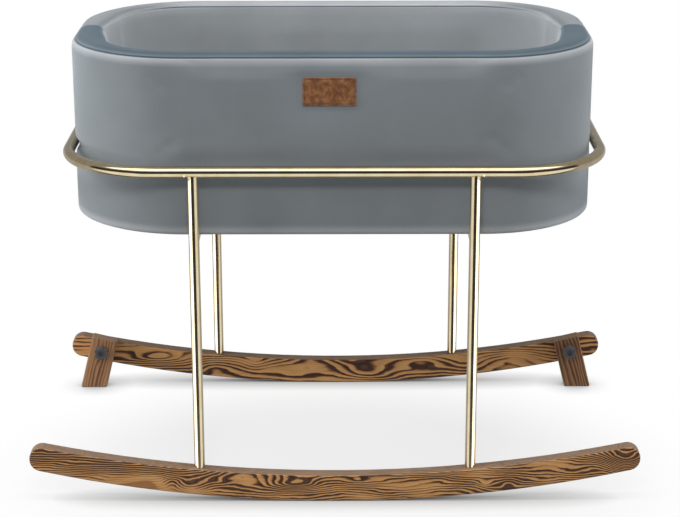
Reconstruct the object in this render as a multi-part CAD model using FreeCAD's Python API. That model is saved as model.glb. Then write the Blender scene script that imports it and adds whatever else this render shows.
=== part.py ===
import FreeCAD, Part
import math
import os

# A rocking cradle in millimetres. X runs along the cradle, Y from front to rear and Z up.
# The origin is on the floor, midway between the four posts.

# Rockers: two curved boards that stand on edge and roll on the floor
ROCKER_LENGTH = 1000.0
ROCKER_HEIGHT = 46.0
ROCKER_THICKNESS = 24.0
ROCKING_RADIUS = 2200.0
ROCKER_TOP_RADIUS = 2330.0
NOSE_FLAT = 3.0
WOOD_EDGE_ROUND = 2.5

# Posts: four upright tubes, bolted into sockets in the rockers from below
TRACK = 536.0
POST_SPACING = 444.0
POST_DIAMETER = 17.0
TUBE_WALL = 1.5
SOCKET_DEPTH = 20.0
SOCKET_FIT = 0.15
PLUG_LENGTH = 25.0
PLUG_FIT = 0.05

# Rocker bolts with their washers, sunk in a counterbore under the rocker
BOLT_DIAMETER = 8.0
BOLT_HEAD_DIAMETER = 13.0
BOLT_HEAD_HEIGHT = 8.0
BOLT_HEX_KEY = 6.0
BOLT_REACH = 18.0
BOLT_CLEARANCE = 0.3
WASHER_DIAMETER = 15.0
WASHER_THICKNESS = 1.5
COUNTERBORE_DEPTH = 11.0
COUNTERBORE_CLEARANCE = 0.5

# Rail: one bent tube that runs round the tub at half its height
RAIL_LENGTH = 868.0
RAIL_DIAMETER = 19.0
RAIL_CORNER_RADIUS = 152.0
RAIL_HEIGHT = 558.0
VENT_DIAMETER = 6.0

# Crossbars: two tubes between the posts that carry the tub
CROSSBAR_DIAMETER = 14.0
CROSSBAR_GAP = 0.3

# Stops: two pivoting legs inside the rear rocker that stand on the floor
STOP_INSET = 59.0
STOP_PIVOT_RISE = 7.0
STOP_WIDTH = 47.0
STOP_THICKNESS = 24.0
STOP_HEAD = 24.0
STOP_LEAN = 14.0
STOP_GAP = 0.1

# Star knobs that clamp the stops, with stud, washer and flanged nut
KNOB_DIAMETER = 26.0
KNOB_LOBES = 6
KNOB_SCALLOP_RADIUS = 5.0
KNOB_SCALLOP_BITE = 2.2
KNOB_HEAD_HEIGHT = 11.0
KNOB_HUB_DIAMETER = 16.0
KNOB_HUB_HEIGHT = 4.0
KNOB_RECESS_DIAMETER = 11.0
KNOB_RECESS_DEPTH = 3.0
KNOB_EDGE_ROUND = 1.2
STUD_DIAMETER = 6.0
STUD_IN_KNOB = 9.0
STUD_END_SHORT = 2.0
STUD_CLEARANCE = 0.3
KNOB_WASHER_DIAMETER = 18.0
KNOB_WASHER_THICKNESS = 1.2
NUT_BARREL_DIAMETER = 9.0
NUT_BARREL_LENGTH = 12.0
NUT_FLANGE_DIAMETER = 18.0
NUT_FLANGE_THICKNESS = 1.5

# Tub: a padded rounded oblong that stands inside the rail
TUB_BOTTOM = 447.0
TUB_TOP = 740.0
TUB_CORNER_RADIUS = 186.0
TUB_END_GAP = 0.5
TUB_SIDE_GAP = 15.0
WALL_THICKNESS = 44.0
RIM_ROUND = 19.0
BOTTOM_ROUND = 6.0
COVER_THICKNESS = 2.0
COVER_HEM = 14.0
SEAM_ANGLE = 41.0

# Tub frame: a rabbeted base board, with a thin hoop screwed to its step
HOOP_THICKNESS = 6.0
HOOP_BELOW_RIM_ROUND = 6.0
BASE_FLANGE = 16.0
BASE_STEP = 9.0
HOOP_SCREW_DIAMETER = 3.5
HOOP_SCREW_HEAD = 7.0
HOOP_SCREW_LENGTH = 25.0
HOOP_SCREW_SPACING = 130.0
HOOP_SCREWS_PER_SIDE = 4

# Mattress and leather patch
MATTRESS_THICKNESS = 45.0
MATTRESS_GAP = 4.0
MATTRESS_EDGE_ROUND = 12.0
PATCH_LENGTH = 84.0
PATCH_HEIGHT = 45.0
PATCH_THICKNESS = 1.5
PATCH_CORNER = 2.5
PATCH_OFFSET = -7.0
PATCH_BELOW_RIM = 59.5

Vec = FreeCAD.Vector
UP = Vec(0, 0, 1)
ALONG = Vec(1, 0, 0)
BACK = Vec(0, 1, 0)
LEFT, RIGHT = -1, 1
FRONT, REAR = -1, 1

# Sizes that follow from the ones above
POST_X = POST_SPACING / 2
POST_Y = TRACK / 2
POST_BORE = POST_DIAMETER / 2 - TUBE_WALL
TUB_HALF_LENGTH = (RAIL_LENGTH - RAIL_DIAMETER) / 2 - TUB_END_GAP
TUB_HALF_WIDTH = (TRACK - RAIL_DIAMETER) / 2 - TUB_SIDE_GAP
BASE_UNDERSIDE = TUB_BOTTOM + COVER_THICKNESS
BASE_SHELF = BASE_UNDERSIDE + BASE_FLANGE
BASE_TOP = BASE_SHELF + BASE_STEP
RIM_SPRING = TUB_TOP - RIM_ROUND
HOOP_TOP = RIM_SPRING - HOOP_BELOW_RIM_ROUND
CROSSBAR_Z = TUB_BOTTOM - CROSSBAR_GAP - CROSSBAR_DIAMETER / 2
STOP_X = ROCKER_LENGTH / 2 - STOP_INSET
STOP_BACK = POST_Y - ROCKER_THICKNESS / 2 - STOP_GAP
STOP_FRONT = STOP_BACK - STOP_THICKNESS
KNOB_FACE = STOP_FRONT - KNOB_WASHER_THICKNESS


def rocker_bottom(x):
    return ROCKING_RADIUS - math.sqrt(ROCKING_RADIUS ** 2 - x ** 2)


def rocker_top(x):
    return ROCKER_HEIGHT + ROCKER_TOP_RADIUS - math.sqrt(ROCKER_TOP_RADIUS ** 2 - x ** 2)


SOCKET_FLOOR = rocker_top(POST_X) - SOCKET_DEPTH
COUNTERBORE_TOP = rocker_bottom(POST_X) + COUNTERBORE_DEPTH
STOP_Z = (rocker_bottom(STOP_X) + rocker_top(STOP_X)) / 2 + STOP_PIVOT_RISE


def rod(radius, start, end):
    run = end - start
    return Part.makeCylinder(radius, run.Length, start, run)


def tube(radius, start, end):
    return rod(radius, start, end).cut(rod(radius - TUBE_WALL, start, end))


def arc(start, middle, end):
    return Part.Arc(start, middle, end).toShape()


def flat_edges(shape, axis, level):
    # Edges that lie wholly in the plane at one level of an axis
    return [e for e in shape.Edges if all(abs(v.Point[axis] - level) < 1e-6 for v in e.Vertexes)]


def save(name, *solids):
    shape = solids[0] if len(solids) == 1 else Part.makeCompound(solids)
    shape.exportStep("parts/" + name + ".step")


# Rounded oblongs

def oblong_wire(half_length, half_width, radius, z):
    corners = [(1, 1), (-1, 1), (-1, -1), (1, -1)]
    arcs = []
    for turn, (sx, sy) in enumerate(corners):
        centre = Vec(sx * (half_length - radius), sy * (half_width - radius), z)
        arcs.append(Part.makeCircle(radius, centre, UP, 90 * turn, 90 * turn + 90))
    edges = []
    for here, following in zip(arcs, arcs[1:] + arcs[:1]):
        edges += [here, Part.makeLine(here.lastVertex().Point, following.firstVertex().Point)]
    return Part.Wire(edges)


def tub_slab(inset, z0, z1):
    wire = oblong_wire(TUB_HALF_LENGTH - inset, TUB_HALF_WIDTH - inset, TUB_CORNER_RADIUS - inset, z0)
    return Part.Face(wire).extrude(UP * (z1 - z0))


def sweep_front(section, half_length, half_width, radius):
    # Carries a section, drawn at the right-hand end, round the front half of an oblong
    straight_end = half_width - radius
    straight_side = half_length - radius
    hub = Vec(straight_side, -straight_end, 0)
    end_run = section.extrude(BACK * -straight_end)
    bend_section = section.translated(BACK * -straight_end)
    bend = bend_section.revolve(hub, UP, -90)
    side_run = bend_section.rotated(hub, UP, -90).extrude(ALONG * -straight_side)
    quarter = end_run.fuse([bend, side_run])
    return quarter.fuse(quarter.mirror(Vec(), ALONG)).removeSplitter()


def sweep_round(section, half_length, half_width, radius):
    front = sweep_front(section, half_length, half_width, radius)
    return front.fuse(front.mirror(Vec(), BACK)).removeSplitter()


def around_tub(section):
    return sweep_round(section, TUB_HALF_LENGTH, TUB_HALF_WIDTH, TUB_CORNER_RADIUS)


def tub_front_and_back(section):
    front = sweep_front(section, TUB_HALF_LENGTH, TUB_HALF_WIDTH, TUB_CORNER_RADIUS)
    return front, front.mirror(Vec(), BACK)


# Sections of the tub wall: u is the depth inward from the outer face, z the height

def wall_point(u, z):
    return Vec(TUB_HALF_LENGTH - u, 0, z)


def outer_round(depth, angle):
    reach = RIM_ROUND - depth
    turn = math.radians(angle)
    return wall_point(RIM_ROUND - reach * math.cos(turn), RIM_SPRING + reach * math.sin(turn))


def inner_round(depth, angle):
    reach = RIM_ROUND - depth
    turn = math.radians(angle)
    inward = WALL_THICKNESS - RIM_ROUND + reach * math.cos(turn)
    return wall_point(inward, RIM_SPRING + reach * math.sin(turn))


def foot_round(depth, angle):
    reach = BOTTOM_ROUND - depth
    turn = math.radians(angle)
    return wall_point(BOTTOM_ROUND - reach * math.cos(turn), TUB_BOTTOM + BOTTOM_ROUND - reach * math.sin(turn))


def section_face(*runs):
    # Each run is a list of two points for a line, or of three for an arc; lines close the gaps
    edges = []
    for run, following in zip(runs, runs[1:] + runs[:1]):
        edges.append(Part.makeLine(*run) if len(run) == 2 else arc(*run))
        if run[-1].distanceToPoint(following[0]) > 1e-6:
            edges.append(Part.makeLine(run[-1], following[0]))
    return Part.Face(Part.Wire(edges))


def outer_cover_section():
    hem = BOTTOM_ROUND + COVER_HEM
    skin = COVER_THICKNESS
    return section_face(
        [outer_round(0, SEAM_ANGLE), outer_round(0, SEAM_ANGLE / 2), outer_round(0, 0)],
        [foot_round(0, 0), foot_round(0, 45), foot_round(0, 90)],
        [wall_point(hem, TUB_BOTTOM), wall_point(hem, BASE_UNDERSIDE)],
        [foot_round(skin, 90), foot_round(skin, 45), foot_round(skin, 0)],
        [outer_round(skin, 0), outer_round(skin, SEAM_ANGLE / 2), outer_round(skin, SEAM_ANGLE)])


def rim_strip_section():
    skin = COVER_THICKNESS
    middle = (SEAM_ANGLE + 90) / 2
    return section_face(
        [outer_round(0, SEAM_ANGLE), outer_round(0, middle), outer_round(0, 90)],
        [inner_round(0, 90), inner_round(0, middle), inner_round(0, SEAM_ANGLE)],
        [inner_round(skin, SEAM_ANGLE), inner_round(skin, middle), inner_round(skin, 90)],
        [outer_round(skin, 90), outer_round(skin, middle), outer_round(skin, SEAM_ANGLE)])


def liner_section():
    skin = COVER_THICKNESS
    return section_face(
        [inner_round(0, SEAM_ANGLE), inner_round(0, SEAM_ANGLE / 2), inner_round(0, 0)],
        [wall_point(WALL_THICKNESS, BASE_TOP), wall_point(WALL_THICKNESS - skin, BASE_TOP)],
        [inner_round(skin, 0), inner_round(skin, SEAM_ANGLE / 2), inner_round(skin, SEAM_ANGLE)])


def foam_section():
    skin = COVER_THICKNESS
    hoop_inside = skin + HOOP_THICKNESS
    return section_face(
        [wall_point(hoop_inside, BASE_TOP), wall_point(hoop_inside, HOOP_TOP)],
        [wall_point(skin, HOOP_TOP), outer_round(skin, 0)],
        [outer_round(skin, 0), outer_round(skin, 45), outer_round(skin, 90)],
        [inner_round(skin, 90), inner_round(skin, 45), inner_round(skin, 0)],
        [wall_point(WALL_THICKNESS - skin, BASE_TOP), wall_point(hoop_inside, BASE_TOP)])


# Tub pieces

def base_board():
    flange = tub_slab(COVER_THICKNESS, BASE_UNDERSIDE, BASE_SHELF)
    flange = flange.makeFillet(BOTTOM_ROUND - COVER_THICKNESS, flat_edges(flange, 2, BASE_UNDERSIDE))
    step = tub_slab(COVER_THICKNESS + HOOP_THICKNESS, BASE_SHELF, BASE_TOP)
    return flange.fuse(step).removeSplitter()


def wall_hoop():
    outside = tub_slab(COVER_THICKNESS, BASE_SHELF, HOOP_TOP)
    return outside.cut(tub_slab(COVER_THICKNESS + HOOP_THICKNESS, BASE_SHELF, HOOP_TOP))


def hoop_screw(start, direction):
    # Countersunk wood screw, flush with the outside of the hoop
    head_depth = (HOOP_SCREW_HEAD - HOOP_SCREW_DIAMETER) / 2
    head = Part.makeCone(HOOP_SCREW_HEAD / 2, HOOP_SCREW_DIAMETER / 2, head_depth, start, direction)
    shank_start = start + direction * head_depth
    return head.fuse(rod(HOOP_SCREW_DIAMETER / 2, shank_start, start + direction * HOOP_SCREW_LENGTH))


def hoop_screws():
    height = (BASE_SHELF + BASE_TOP) / 2
    screws = []
    for side in (FRONT, REAR):
        face = side * (TUB_HALF_WIDTH - COVER_THICKNESS)
        for place in range(HOOP_SCREWS_PER_SIDE):
            x = (place - (HOOP_SCREWS_PER_SIDE - 1) / 2) * HOOP_SCREW_SPACING
            screws.append(hoop_screw(Vec(x, face, height), BACK * -side))
    for end in (LEFT, RIGHT):
        face = end * (TUB_HALF_LENGTH - COVER_THICKNESS)
        screws.append(hoop_screw(Vec(face, 0, height), ALONG * -end))
    return screws


def mattress():
    block = tub_slab(WALL_THICKNESS + MATTRESS_GAP, BASE_TOP, BASE_TOP + MATTRESS_THICKNESS)
    edges = flat_edges(block, 2, BASE_TOP) + flat_edges(block, 2, BASE_TOP + MATTRESS_THICKNESS)
    return block.makeFillet(MATTRESS_EDGE_ROUND, edges)


def leather_patch():
    corner = Vec(PATCH_OFFSET - PATCH_LENGTH / 2, -TUB_HALF_WIDTH - PATCH_THICKNESS,
                 TUB_TOP - PATCH_BELOW_RIM - PATCH_HEIGHT / 2)
    plate = Part.makeBox(PATCH_LENGTH, PATCH_THICKNESS, PATCH_HEIGHT, corner)
    corners = [e for e in plate.Edges if abs(e.tangentAt(e.FirstParameter).y) > 0.9]
    return plate.makeFillet(PATCH_CORNER, corners)


def make_tub():
    screws = hoop_screws()
    save("hoop_screws", *screws)
    save("base_board", base_board().cut(screws))
    save("wall_hoop", wall_hoop().cut(screws))
    save("wall_foam", around_tub(foam_section()))
    save("inner_liner", around_tub(liner_section()))
    for name, section in (("outer_cover", outer_cover_section()), ("rim_strip", rim_strip_section())):
        front, back = tub_front_and_back(section)
        save(name + "_front", front)
        save(name + "_back", back)
    save("bottom_cover", tub_slab(BOTTOM_ROUND + COVER_HEM, TUB_BOTTOM, BASE_UNDERSIDE))
    save("leather_patch", leather_patch())
    save("mattress", mattress())


# Metal frame

def rail_rod(radius):
    circle = Part.makeCircle(radius, Vec(RAIL_LENGTH / 2, 0, RAIL_HEIGHT), BACK)
    section = Part.Face(Part.Wire(circle))
    return sweep_round(section, RAIL_LENGTH / 2, TRACK / 2, RAIL_CORNER_RADIUS)


def post_places():
    return [(side, end) for side in (FRONT, REAR) for end in (LEFT, RIGHT)]


def top_rail():
    # Each post's weld vent opens the rail's bore into the post's
    rail = rail_rod(RAIL_DIAMETER / 2).cut(rail_rod(RAIL_DIAMETER / 2 - TUBE_WALL))
    for side, end in post_places():
        low = Vec(end * POST_X, side * POST_Y, RAIL_HEIGHT - RAIL_DIAMETER)
        rail = rail.cut(rod(VENT_DIAMETER / 2, low, low + UP * RAIL_DIAMETER))
    return rail


def post(side, end):
    # The upper end is coped to sit on the underside of the rail
    foot = Vec(end * POST_X, side * POST_Y, SOCKET_FLOOR)
    head = Vec(foot.x, foot.y, RAIL_HEIGHT)
    rail_run = rod(RAIL_DIAMETER / 2, head - ALONG * RAIL_DIAMETER, head + ALONG * RAIL_DIAMETER)
    return tube(POST_DIAMETER / 2, foot, head).cut(rail_run)


def crossbar(end):
    # Both ends are coped to the inner sides of the posts
    front = Vec(end * POST_X, -POST_Y, CROSSBAR_Z)
    rear = Vec(end * POST_X, POST_Y, CROSSBAR_Z)
    bar = tube(CROSSBAR_DIAMETER / 2, front, rear)
    for meeting in (front, rear):
        bar = bar.cut(rod(POST_DIAMETER / 2, meeting - UP * POST_DIAMETER, meeting + UP * POST_DIAMETER))
    return bar


def post_plug(side, end):
    foot = Vec(end * POST_X, side * POST_Y, SOCKET_FLOOR)
    plug = rod(POST_BORE - PLUG_FIT, foot, foot + UP * PLUG_LENGTH)
    return plug.cut(rod(BOLT_DIAMETER / 2, foot, foot + UP * PLUG_LENGTH))


def rocker_bolt(side, end):
    # Socket head cap screw, head down, threaded into the post's plug
    seat = Vec(end * POST_X, side * POST_Y, COUNTERBORE_TOP - WASHER_THICKNESS)
    bottom = seat - UP * BOLT_HEAD_HEIGHT
    shank_end = Vec(seat.x, seat.y, SOCKET_FLOOR + BOLT_REACH)
    head = rod(BOLT_HEAD_DIAMETER / 2, bottom, seat)
    key = Part.Face(Part.makePolygon([bottom + hex_corner(i) for i in range(7)]))
    return head.cut(key.extrude(UP * BOLT_HEAD_HEIGHT / 2)).fuse(rod(BOLT_DIAMETER / 2, seat, shank_end))


def hex_corner(index):
    turn = math.radians(60 * index)
    return Vec(math.cos(turn), math.sin(turn), 0) * (BOLT_HEX_KEY / math.sqrt(3))


def rocker_washer(side, end):
    top = Vec(end * POST_X, side * POST_Y, COUNTERBORE_TOP)
    low = top - UP * WASHER_THICKNESS
    return rod(WASHER_DIAMETER / 2, low, top).cut(rod(BOLT_DIAMETER / 2 + BOLT_CLEARANCE, low, top))


def make_frame():
    save("top_rail", top_rail())
    for side, end in post_places():
        name = ("front" if side == FRONT else "rear") + ("_left" if end == LEFT else "_right")
        save(name + "_post", post(side, end))
    save("left_crossbar", crossbar(LEFT))
    save("right_crossbar", crossbar(RIGHT))
    save("post_plugs", *[post_plug(*place) for place in post_places()])
    save("rocker_bolts", *[rocker_bolt(*place) for place in post_places()])
    save("rocker_washers", *[rocker_washer(*place) for place in post_places()])


# Wooden rockers and stops

def rocker_board():
    # The underside is one circle, split at its lowest point
    half = ROCKER_LENGTH / 2
    low = {x: Vec(x, 0, rocker_bottom(x)) for x in (-half, -half / 2, 0, half / 2, half)}
    high = {x: Vec(x, 0, rocker_top(x)) for x in (-half, 0, half)}
    outline = section_face(
        [low[-half], low[-half / 2], low[0]],
        [low[0], low[half / 2], low[half]],
        [high[half], high[0], high[-half]])
    board = outline.extrude(BACK * ROCKER_THICKNESS).translated(BACK * -ROCKER_THICKNESS / 2)
    nose = (rocker_top(half) - rocker_bottom(half) - NOSE_FLAT) / 2
    ends = [e for e in board.Edges if all(abs(abs(v.X) - half) < 1e-6 for v in e.Vertexes)]
    crosswise = [e for e in ends if abs(e.Vertexes[0].Y - e.Vertexes[1].Y) > ROCKER_THICKNESS / 2]
    board = board.makeFillet(nose, crosswise)
    rims = flat_edges(board, 1, -ROCKER_THICKNESS / 2) + flat_edges(board, 1, ROCKER_THICKNESS / 2)
    return board.makeFillet(WOOD_EDGE_ROUND, rims)


def bore_for_posts(board):
    for end in (LEFT, RIGHT):
        floor = Vec(end * POST_X, 0, SOCKET_FLOOR)
        seat = Vec(end * POST_X, 0, COUNTERBORE_TOP)
        socket = rod(POST_DIAMETER / 2 + SOCKET_FIT, floor, floor + UP * 2 * SOCKET_DEPTH)
        through = rod(BOLT_DIAMETER / 2 + BOLT_CLEARANCE, seat, floor)
        sink_radius = WASHER_DIAMETER / 2 + COUNTERBORE_CLEARANCE
        counterbore = rod(sink_radius, seat - UP * 2 * COUNTERBORE_DEPTH, seat)
        board = board.cut([socket, through, counterbore])
    return board


def pivot(end, y):
    return Vec(end * STOP_X, y, STOP_Z)


def pivot_nut(end):
    # Flanged nut, let in flush from the rear face of the rear rocker
    rear_face = POST_Y + ROCKER_THICKNESS / 2
    barrel_end = rear_face - NUT_FLANGE_THICKNESS - NUT_BARREL_LENGTH
    flange = rod(NUT_FLANGE_DIAMETER / 2, pivot(end, rear_face - NUT_FLANGE_THICKNESS), pivot(end, rear_face))
    return flange.fuse(rod(NUT_BARREL_DIAMETER / 2, pivot(end, barrel_end), pivot(end, rear_face)))


def stud_bore(end):
    return rod(STUD_DIAMETER / 2 + STUD_CLEARANCE, pivot(end, STOP_FRONT - ROCKER_THICKNESS),
               pivot(end, POST_Y + ROCKER_THICKNESS))


def stop(end):
    # A short board that leans outward, cut level where it stands on the floor
    reach = 2 * STOP_Z
    board = Part.makeBox(STOP_WIDTH, STOP_THICKNESS, STOP_HEAD + reach, Vec(-STOP_WIDTH / 2, STOP_FRONT, -reach))
    board = board.rotated(Vec(), BACK, -end * STOP_LEAN).translated(pivot(end, 0))
    below = Part.makeBox(8 * STOP_WIDTH, 2 * TRACK, reach, Vec(end * STOP_X - 4 * STOP_WIDTH, 0, -reach))
    board = board.cut(below)
    return board.makeFillet(WOOD_EDGE_ROUND, board.Edges).cut(stud_bore(end))


def knob_head():
    # Drawn about Z with its hub at the origin; the lobes are what the scallops leave
    top = KNOB_HUB_HEIGHT + KNOB_HEAD_HEIGHT
    star = rod(KNOB_DIAMETER / 2, UP * KNOB_HUB_HEIGHT, UP * top)
    ring = KNOB_DIAMETER / 2 + KNOB_SCALLOP_RADIUS - KNOB_SCALLOP_BITE
    for lobe in range(KNOB_LOBES):
        turn = math.radians((lobe + 0.5) * 360 / KNOB_LOBES)
        foot = Vec(ring * math.cos(turn), ring * math.sin(turn), KNOB_HUB_HEIGHT)
        star = star.cut(rod(KNOB_SCALLOP_RADIUS, foot, foot + UP * KNOB_HEAD_HEIGHT))
    star = star.makeFillet(KNOB_EDGE_ROUND, flat_edges(star, 2, top))
    hub = rod(KNOB_HUB_DIAMETER / 2, Vec(), UP * KNOB_HUB_HEIGHT)
    recess = rod(KNOB_RECESS_DIAMETER / 2, UP * (top - KNOB_RECESS_DEPTH), UP * top)
    stud_hole = rod(STUD_DIAMETER / 2, Vec(), UP * STUD_IN_KNOB)
    return star.fuse(hub).removeSplitter().cut([recess, stud_hole])


def place_knob(shape, end):
    # Turns a knob piece so that its outer face looks to the front, one lobe up
    upright = shape.rotated(Vec(), UP, 90)
    return upright.rotated(Vec(), ALONG, 90).translated(pivot(end, KNOB_FACE))


def knob_stud(end):
    tip = POST_Y + ROCKER_THICKNESS / 2 - STUD_END_SHORT
    return rod(STUD_DIAMETER / 2, pivot(end, KNOB_FACE - STUD_IN_KNOB), pivot(end, tip))


def knob_washer(end):
    disc = rod(KNOB_WASHER_DIAMETER / 2, pivot(end, KNOB_FACE), pivot(end, STOP_FRONT))
    return disc.cut(rod(STUD_DIAMETER / 2, pivot(end, KNOB_FACE), pivot(end, STOP_FRONT)))


def make_wood():
    board = bore_for_posts(rocker_board())
    save("front_rocker", board.translated(BACK * -POST_Y))
    nuts = [pivot_nut(end) for end in (LEFT, RIGHT)]
    bores = [stud_bore(end) for end in (LEFT, RIGHT)]
    save("rear_rocker", board.translated(BACK * POST_Y).cut(nuts + bores))
    save("pivot_nuts", *[nut.cut(bores) for nut in nuts])


def make_stops():
    head = knob_head()
    for name, end in (("left", LEFT), ("right", RIGHT)):
        save(name + "_stop", stop(end))
        save(name + "_knob", place_knob(head, end))
        save(name + "_knob_stud", knob_stud(end))
        save(name + "_knob_washer", knob_washer(end))


os.makedirs("parts", exist_ok=True)
make_wood()
make_stops()
make_frame()
make_tub()
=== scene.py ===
import bpy
import math
import numpy as np
from mathutils import Matrix, Vector


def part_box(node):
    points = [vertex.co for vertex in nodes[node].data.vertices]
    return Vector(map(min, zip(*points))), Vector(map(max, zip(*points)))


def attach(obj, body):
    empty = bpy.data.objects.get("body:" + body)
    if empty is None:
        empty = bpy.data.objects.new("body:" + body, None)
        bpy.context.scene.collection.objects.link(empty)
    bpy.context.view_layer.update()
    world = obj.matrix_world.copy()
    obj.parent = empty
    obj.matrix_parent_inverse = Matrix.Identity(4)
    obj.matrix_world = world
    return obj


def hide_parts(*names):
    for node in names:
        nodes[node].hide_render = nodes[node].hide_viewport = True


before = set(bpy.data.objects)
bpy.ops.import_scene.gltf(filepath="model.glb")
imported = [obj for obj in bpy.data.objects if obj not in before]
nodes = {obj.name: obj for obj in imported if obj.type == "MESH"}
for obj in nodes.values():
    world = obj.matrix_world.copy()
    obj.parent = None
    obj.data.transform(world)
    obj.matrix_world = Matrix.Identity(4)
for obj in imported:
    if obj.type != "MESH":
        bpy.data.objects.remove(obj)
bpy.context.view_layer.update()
mm = 0.001
tiny = 1e-9
posts = ("front_left_post", "front_right_post", "rear_left_post", "rear_right_post")
print("frame loaded:", len(nodes), "nodes")


# Small tools

def tone(code):
    # sRGB hex to linear colour
    parts = [int(code[i:i + 2], 16) / 255 for i in (1, 3, 5)]
    return [c / 12.92 if c <= 0.04045 else ((c + 0.055) / 1.055) ** 2.4 for c in parts] + [1]


white = tone("#ffffff")


def addNode(tree, kind, inputs=(), stops=(), **settings):
    # in a shader's tree a kind is given without ShaderNode; a node as an input stands for its first output
    made = tree.nodes.new(("ShaderNode" if tree.type == "SHADER" else "") + kind)
    for name, value in settings.items():
        setattr(made, name, value)
    for socket, value in inputs.items() if isinstance(inputs, dict) else enumerate(inputs):
        if isinstance(value, bpy.types.Node):
            value = next(output for output in value.outputs if output.enabled)
        if isinstance(value, bpy.types.NodeSocket):
            tree.links.new(value, made.inputs[socket])
        else:
            made.inputs[socket].default_value = value
    if stops:
        elements = made.color_ramp.elements
        while len(elements) < len(stops):
            elements.new(1)
        for element, (place, code) in zip(elements, stops):
            element.position = place
            element.color = tone(code)
    return made


def newMaterial(name, **sockets):
    # keys are the shader's socket names with _ for a space
    made = bpy.data.materials.new(name)
    made.use_nodes = True
    shader = made.node_tree.nodes["Principled BSDF"]
    for socket, value in sockets.items():
        shader.inputs[socket.replace("_", " ")].default_value = value
    return made, made.node_tree, shader


def feed(tree, shader, **given):
    for socket, node in given.items():
        tree.links.new(node.outputs[0], shader.inputs[socket.replace("_", " ")])


def addObject(name, data):
    made = bpy.data.objects.new(name, data)
    bpy.context.scene.collection.objects.link(made)
    return made


def newPiece(name, vertices, faces, material):
    mesh = bpy.data.meshes.new(name)
    mesh.from_pydata([tuple(v) for v in vertices], [], [tuple(f) for f in faces])
    mesh.polygons.foreach_set("use_smooth", [True] * len(mesh.polygons))
    mesh.materials.append(material)
    mesh.update()
    return addObject(name, mesh)


def middleOf(name):
    lowest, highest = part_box(name)
    return (lowest + highest) / 2


def dress(material, *names):
    # a CAD node whose shape is right keeps it and takes a finish
    for name in names:
        mesh = nodes[name].data
        mesh.materials.clear()
        mesh.materials.append(material)


# Camera: the photograph's place, found from the rail, the rockers and the posts

cameraSet = {
    "place": (0.009, -3.1695, 1.3429),
    "pitchDown": 17.72,
    "roll": -0.1,
    "focalPixels": 1919,
    "imageWidth": 680,
    "sensor": 36,
}


def makeCamera(s):
    lens = bpy.data.cameras.new("camera")
    lens.sensor_width = s["sensor"]
    lens.lens = s["focalPixels"] / s["imageWidth"] * s["sensor"]
    made = addObject("camera", lens)
    aim = Matrix.Rotation(math.radians(90 - s["pitchDown"]), 4, "X")
    roll = Matrix.Rotation(math.radians(s["roll"]), 4, "Z")
    made.matrix_world = Matrix.Translation(s["place"]) @ aim @ roll
    bpy.context.scene.camera = made


makeCamera(cameraSet)
bpy.context.scene.view_settings.view_transform = "Standard"
print("camera placed")


# Studio: a white sweep under six softboxes, with the object's own shadow and a painted contact shadow on it

studioSet = {
    "lights": {
        # name: place, aim, size, power
        "key": ((0, -1.36, 2.24), (0, 0, 0.45), (2.2, 1.5), 4),
        "front": ((-0.1, -1.95, 1.97), (0, -0.25, 0.55), (0.5, 0.4), 18),
        "top": ((0, -0.55, 2.6), (0, -0.5, 0), (2.4, 0.3), 26),
        "back": ((0, 1.3, 2.3), (0, 0, 0.6), (2.2, 1.2), 8),
        "left": ((-2.4, -0.3, 1.2), (0, 0, 0.55), (1.2, 1.6), 52),
        "right": ((2.4, -0.3, 1.2), (0, 0, 0.55), (1.2, 1.6), 33),
    },
    "skyLight": 0.18,
    "floorBounce": 0.32,
    "floorTone": "#d7d7d7",
    "floorHalf": 9.0,
    "glowCentre": (0, -0.2, 0),
    "glowRadii": (0.62, 0.5),
    "glowEdge": (0.55, 1.1),
    "floorGlow": (0.65, 1.0),
    # how far the floor's painted contact shadow reaches
    "contactReach": 50 * mm,
}
# What polished metal sees round the cradle: angles in degrees, brightness of each part of the room
roomSet = {
    "floor": 1.0,
    "ceiling": 0.3,
    "lamp": 2.1,
    "dark": 0.04,
    "windowDip": 18,
    "behindAbove": 0.3,
    "behindBelow": 0.45,
    "under": (0.45, 0.12),
    # where each part begins or ends, as the two sides of its blurred edge
    "horizon": (-3, 3),
    "lampFoot": (33, 39),
    "lampTop": (75, 81),
    "lampSide": (69, 81),
    "darkFoot": (-11, -5),
    "darkTop": (19, 25),
    "windowSide": (27, 33),
    "frontSide": (82, 88),
    "underFront": (-87, -63),
    "underBehind": (-60, -36),
}
# White cards beside the posts, which only polished metal sees
cardSet = {
    "outward": 14 * mm,
    "forward": (24 * mm, 4.5 * mm),
    "height": (-50 * mm, 543 * mm),
    "glow": 2.0,
    "reach": 24 * mm,
}


def softbox(name, place, aim, size, power):
    lamp = bpy.data.lights.new(name, "AREA")
    lamp.shape = "RECTANGLE"
    lamp.size, lamp.size_y = size
    lamp.energy = power
    made = addObject(name, lamp)
    made.location = place
    made.rotation_mode = "QUATERNION"
    made.rotation_quaternion = (Vector(aim) - Vector(place)).to_track_quat("-Z", "Y")
    made.visible_camera = made.visible_glossy = False


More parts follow.
